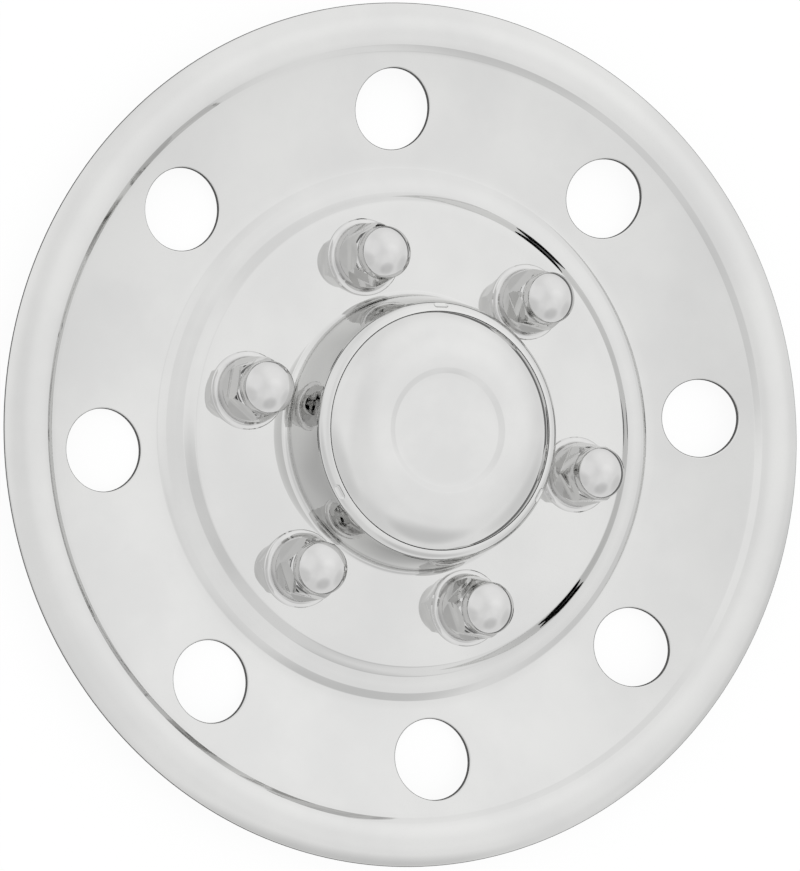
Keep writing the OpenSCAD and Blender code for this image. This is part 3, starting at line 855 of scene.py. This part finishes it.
def hole_lips(disc, places, high):
    """The lips turned down around the hand holes, before the holes are cut through them."""
    liner = bpy.context.scene.wheel_liner
    top, low = beside(disc, liner.sheet / 2), beside(disc, liner.hole_lip)
    band = spun("hole_lips", [top, [top[-1], low[-1]], low[::-1], [low[0], top[0]]], LINER_STEPS)
    cut(band, drill("lip_posts", places, liner.hole_radius + liner.sheet, -high, high), "INTERSECT")
    return band


def flared_drill(places, height, high):
    """Cutters with a flare that rounds each hand hole's front edge along the dish of the disc."""
    liner = bpy.context.scene.wheel_liner
    hole, bend = liner.hole_radius, liner.hole_bend
    start = math.radians(12)
    excess = 0.0015
    flare = [Vector((hole + bend * (1 - math.sin(t)), bend * (math.cos(t) - 1)))
             for t in [start + (RIGHT_ANGLE - start) * i / 8 for i in range(9)]]
    wide = flare[0] + excess * Vector((math.cos(start), math.sin(start)))
    path = [Vector((wide.x, high)), wide] + flare + [Vector((hole, -high))]
    drills = [stacked("flared_drill", DRILL_SIDES, path, place) for place in places]
    for piece in drills:
        for vertex in piece.data.vertices:
            vertex.co.z += height(vertex.co.xy.length)
    return joined("flared_drill", drills)


def stake_bars():
    """Round-ended bars that press the staking dents, and the surfaces that they leave."""
    collar = bpy.context.scene.wheel_collar
    seat = collar.shoulder - collar.stake_depth + collar.stake_radius
    centre = collar_shoulder()[0]
    reach = centre.x + seat * math.sin(collar.stake_lean)
    height = centre.y + seat * math.cos(collar.stake_lean)
    half, radius = collar.stake_length / 2, collar.stake_radius
    ends = [arc((0, -half), radius, -RIGHT_ANGLE, 0, 10), arc((0, half), radius, 0, RIGHT_ANGLE, 10)]
    bars, surfaces = [], []
    for x, y in around(STAKES, reach, collar.stake_phase):
        bar = spun("stake_bar", [ends[0], [ends[0][-1], ends[1][0]], ends[1]], STAKE_STEPS)
        turn = math.atan2(y, x)
        bar.location = (x, y, height)
        bar.rotation_euler = (RIGHT_ANGLE, 0, turn)
        bars.append(bar)
        surfaces.append(Bar((x, y, height), (-math.sin(turn), math.cos(turn), 0), half, radius))
    return joined("stake_bars", bars), surfaces


class WHEEL_OT_liner(bpy.types.Operator):
    """Models the pressed and polished liner with its hand holes, lug holes and staking dents"""
    bl_idname = "wheel.liner"
    bl_label = "Liner"

    def execute(self, context):
        liner, covers = context.scene.wheel_liner, context.scene.wheel_covers
        front = liner_face()
        back = beside(front, liner.sheet)
        runs = [front, [front[-1], back[-1]], back[::-1], [back[0], front[0]]]
        mesh_front = evened(front, 5, 0.0045)
        mesh_back = evened(back, 8, 0.006)
        outline = [mesh_front, [front[-1], back[-1]], mesh_back[::-1], [back[0], front[0]]]
        piece = spun("liner", outline, LINER_STEPS)
        hands = around(HAND_HOLES, liner.hole_circle, liner.hole_phase)
        lugs = around(LUG_COUNT, covers.circle, covers.phase)
        high = liner.edge_height + CUTTER_REACH
        bore = covers.neck + covers.neck_gap
        disc = disc_face()
        reaches, heights = [p.x for p in disc], [p.y for p in disc]

        def disc_height(reach):
            return np.interp(reach, reaches, heights)

        cut(piece, hole_lips(disc, hands, high), "UNION")
        cut(piece, flared_drill(hands, disc_height, high))
        cut(piece, drill("lug_drill", lugs, bore, -high, high))
        bars, dents = stake_bars()
        cut(piece, bars)
        low = beside(disc, liner.hole_lip)
        surfaces = [Turned(run) for run in runs + [low[::-1]]] + dents
        surfaces += [Bore(place, bore) for place in lugs]
        for place in hands:
            surfaces += [Bore(place, liner.hole_radius), Bore(place, liner.hole_radius + liner.sheet),
                         Flare(place, liner.hole_radius, liner.hole_bend, disc_height)]
        set_true_normals(piece, surfaces)
        finishes = context.scene.wheel_finishes
        steel = polished_steel(
            "liner_polish", finishes.liner_dark, finishes.liner_light, smooth=0.02, rough=0.05,
            line_width=0.0007, haze_size=0.06, wave_size=0.05, wave_height=0.00002, lathe=0.5)
        finish_piece(piece, steel, "liner_steel", *LINER_NODES)
        return {"FINISHED"}


class WHEEL_OT_centre_cap(bpy.types.Operator):
    """Models the domed centre cap with its round recess"""
    bl_idname = "wheel.centre_cap"
    bl_label = "Centre cap"

    def execute(self, context):
        sheet = context.scene.wheel_liner.sheet
        front = cap_face()
        back = beside(front, sheet)
        mesh_front = evened(front, 4, 0.003)
        mesh_back = evened(back, 8, 0.004)
        piece = spun("centre_cap_skin", [mesh_front, [front[-1], back[-1]], mesh_back[::-1]], CAP_STEPS)
        set_true_normals(piece, [Turned(run) for run in (front, [front[-1], back[-1]], back)])
        finishes = context.scene.wheel_finishes
        steel = polished_steel(
            "cap_polish", finishes.cap_dark, finishes.cap_light, smooth=0.015, rough=0.04,
            line_width=0.0005, haze_size=0.04, wave_size=0.03, wave_height=0.00001, lathe=0.5)
        finish_piece(piece, steel, "cap_steel", "centre_cap")
        return {"FINISHED"}


class WHEEL_OT_lug_covers(bpy.types.Operator):
    """Models a chromed lug cover once, and sets six of them round the hub"""
    bl_idname = "wheel.lug_covers"
    bl_label = "Lug covers"

    def execute(self, context):
        s = context.scene.wheel_covers
        liner = context.scene.wheel_liner
        finishes = context.scene.wheel_finishes
        plate = liner.edge_height - liner.plate_drop
        skin, hollow = cover_skin(), cover_hollow()
        neck_end = -liner.sheet - s.neck_length
        foot = s.flange_sheet + s.foot
        per_flat = 1 / math.cos(math.pi / FLATS)

        def spindle(inset):
            """A six-sided piece that holds what lies inside the flats."""
            path = flat_face(inset)
            wide = path[0].x + SPINDLE_REACH
            path = [Vector((wide, -SPINDLE_REACH)), Vector((wide, foot))] + path
            return stacked("spindle", FLATS, [Vector((p.x * per_flat, p.y)) for p in path])

        solid = spun("lug_cover_skin", [[Vector((0, neck_end)), skin[0][0]]]
                     + [evened(run, 4, 0.002) for run in skin], COVER_STEPS)
        cut(solid, spindle(0), "INTERSECT")
        inside = spun("cover_core", [evened(run, 8, 0.003) for run in hollow], HOLLOW_STEPS)
        cut(inside, spindle(s.wall), "INTERSECT")
        cut(solid, inside)
        bore = s.neck - s.wall
        cut(solid, drill("neck_drill", [(0, 0)], bore, neck_end - OVERCUT, s.flange_sheet + FINE_OVERCUT))
        for index, place in enumerate(around(LUG_COUNT, s.circle, s.phase, -1)):
            start_clean()
            solid.select_set(True)
            bpy.context.view_layer.objects.active = solid
            bpy.ops.object.duplicate()
            cover = bpy.context.object
            cover.name = cover.data.name = "lug_cover_skin_%d" % (index + 1)
            cover.rotation_euler.z = s.turns[index]
            cover.location = (*place, plate)
            bpy.ops.object.transform_apply(location=True, rotation=True, scale=True)
            raise_by = Vector((0, plate))
            runs = [[p + raise_by for p in run] for run in skin + hollow]
            neck_floor = [Vector((0, neck_end)) + raise_by, Vector((s.neck, neck_end)) + raise_by]
            surfaces = [Turned(run, place) for run in runs + [neck_floor]]
            surfaces.append(Bore(place, bore))
            surfaces += [Faceted([p + raise_by for p in flat_face(inset)], place, s.turns[index])
                         for inset in (0, s.wall)]
            set_true_normals(cover, surfaces)
            steel = polished_steel(
                "cover_plating_%d" % (index + 1), finishes.cover_dark, finishes.cover_light,
                centre=(*place, plate), smooth=0.008, rough=0.02, line_width=0.0003, haze_size=0.012,
                wave_size=0.01, wave_height=0.000002)
            finish_piece(cover, steel, "cover_steel", "lug_cover_%d" % (index + 1))
        bpy.data.objects.remove(solid)
        return {"FINISHED"}


class WHEEL_OT_rings_and_grips(bpy.types.Operator):
    """Gives the push-on rings and the nut grips behind the liner their finishes"""
    bl_idname = "wheel.rings_and_grips"
    bl_label = "Rings and grips"

    def execute(self, context):
        finishes = context.scene.wheel_finishes
        spring, shader = speckled(
            "spring_steel", finishes.spring, spread=(0.8, 1.25), stain=(120.0, 4.0), grain=(900.0, 3.0),
            gloss=(0.28, 0.42), bump=(0.4, 0.00003))
        shader.inputs["Metallic"].default_value = 1.0
        nylon, shader = speckled(
            "moulded_nylon", finishes.nylon, spread=(0.93, 1.03), stain=(80.0, 3.0), grain=(1500.0, 2.0),
            gloss=(0.42, 0.55), bump=(0.3, 0.00004))
        shader.inputs["Subsurface Weight"].default_value = 0.1
        shader.inputs["Subsurface Scale"].default_value = 0.002
        for index in range(1, LUG_COUNT + 1):
            for node, material in (("push_ring_%d" % index, spring), ("nut_grip_%d" % index, nylon)):
                mesh = bpy.data.objects[node].data
                mesh.materials.clear()
                mesh.materials.append(material)
        return {"FINISHED"}


class WHEEL_OT_studio(bpy.types.Operator):
    """Sets the camera, the pale floor and the soft light tent"""
    bl_idname = "wheel.studio"
    bl_label = "Studio"

    def execute(self, context):
        studio = context.scene.wheel_studio
        start_clean()
        bpy.ops.object.camera_add(location=studio.eye, rotation=studio.aim)
        camera = bpy.context.object
        camera.data.lens = studio.lens
        context.scene.camera = camera

        start_clean()
        bpy.ops.mesh.primitive_circle_add(vertices=96, radius=studio.floor_radius, fill_type="NGON")
        floor = bpy.context.object
        floor.name = "studio_floor"
        cloth = bpy.data.materials.new("studio_floor")
        cloth.use_nodes = True
        tree = cloth.node_tree
        tree.nodes.remove(tree.nodes["Principled BSDF"])
        paths = shader_node(tree, "ShaderNodeLightPath").outputs
        seen = math_node(tree, "MAXIMUM", paths["Is Camera Ray"], paths["Is Transmission Ray"])
        white = shader_node(tree, "ShaderNodeEmission", {
            "Color": (1, 1, 1, 1), "Strength": studio.floor_glow})
        dull, thin = (shader_node(tree, "ShaderNodeBsdfDiffuse", {"Color": (tone, tone, tone, 1)})
                      for tone in (studio.floor_dull, studio.floor_shadow))
        lit = shader_node(tree, "ShaderNodeAddShader", {0: white.outputs[0], 1: thin.outputs[0]})
        mixed = shader_node(tree, "ShaderNodeMixShader", {0: seen, 1: dull.outputs[0], 2: lit.outputs[0]})
        tree.links.new(mixed.outputs[0], tree.nodes["Material Output"].inputs["Surface"])
        floor.data.materials.append(cloth)

        context.scene.view_settings.view_transform = "Standard"
        light_tent(context.scene)
        return {"FINISHED"}


def toward(azimuth, zenith):
    """Unit vector of a direction, given in degrees."""
    a, z = math.radians(azimuth), math.radians(zenith)
    return (math.sin(z) * math.cos(a), math.sin(z) * math.sin(a), math.cos(z))


def glow(tree, ray, azimuth, zenith, inner, outer):
    """A soft round patch of the tent, full within the inner and gone beyond the outer angle, in degrees."""
    aligned = shader_node(tree, "ShaderNodeVectorMath", {0: ray, 1: toward(azimuth, zenith)},
                          operation="DOT_PRODUCT").outputs["Value"]
    return ramp_node(tree, aligned, math.cos(math.radians(outer)), math.cos(math.radians(inner)))


def light_tent(scene):
    """A white light tent with soft lamps and dark gaps; the camera sees it plain white."""
    world = bpy.data.worlds.new("light_tent")
    scene.world = world
    world.use_nodes = True
    tree = world.node_tree
    back = tree.nodes["Background"]
    ray = shader_node(tree, "ShaderNodeTexCoord").outputs["Generated"]
    total = scene.wheel_studio.tent
    for *patch, strength in LAMPS:
        total = math_node(tree, "ADD", total, math_node(tree, "MULTIPLY", glow(tree, ray, *patch), strength))
    paths = shader_node(tree, "ShaderNodeLightPath").outputs
    seen = shader_node(tree, "ShaderNodeMix", {0: paths["Is Camera Ray"], 2: total, 3: 1.0}).outputs[0]
    tree.links.new(seen, back.inputs["Strength"])
    back.inputs["Color"].default_value = (1, 1, 1, 1)


class WHEEL_PT_panel(bpy.types.Panel):
    """Lists the steps that dress the wheel simulator"""
    bl_idname = "WHEEL_PT_panel"
    bl_label = "Wheel simulator"
    bl_space_type = "VIEW_3D"
    bl_region_type = "UI"
    bl_category = "Wheel"

    def draw(self, context):
        for step in OPERATORS:
            self.layout.operator(step.bl_idname)
        for name, group in GROUPS.items():
            box = self.layout.box()
            box.label(text=name.replace("_", " "))
            for field in group.__annotations__:
                box.prop(getattr(context.scene, name), field)


OPERATORS = (
    WHEEL_OT_liner, WHEEL_OT_centre_cap, WHEEL_OT_lug_covers, WHEEL_OT_rings_and_grips, WHEEL_OT_studio)


def register():
    for kind in (*GROUPS.values(), *OPERATORS, WHEEL_PT_panel):
        bpy.utils.register_class(kind)
    for name, group in GROUPS.items():
        setattr(bpy.types.Scene, name, bpy.props.PointerProperty(type=group))


def unregister():
    for name in GROUPS:
        delattr(bpy.types.Scene, name)
    for kind in reversed((*GROUPS.values(), *OPERATORS, WHEEL_PT_panel)):
        bpy.utils.unregister_class(kind)


def main():
    register()
    bpy.ops.wheel.liner()
    bpy.ops.wheel.centre_cap()
    bpy.ops.wheel.lug_covers()
    bpy.ops.wheel.rings_and_grips()
    bpy.ops.wheel.studio()


if __name__ == "__main__":
    main()
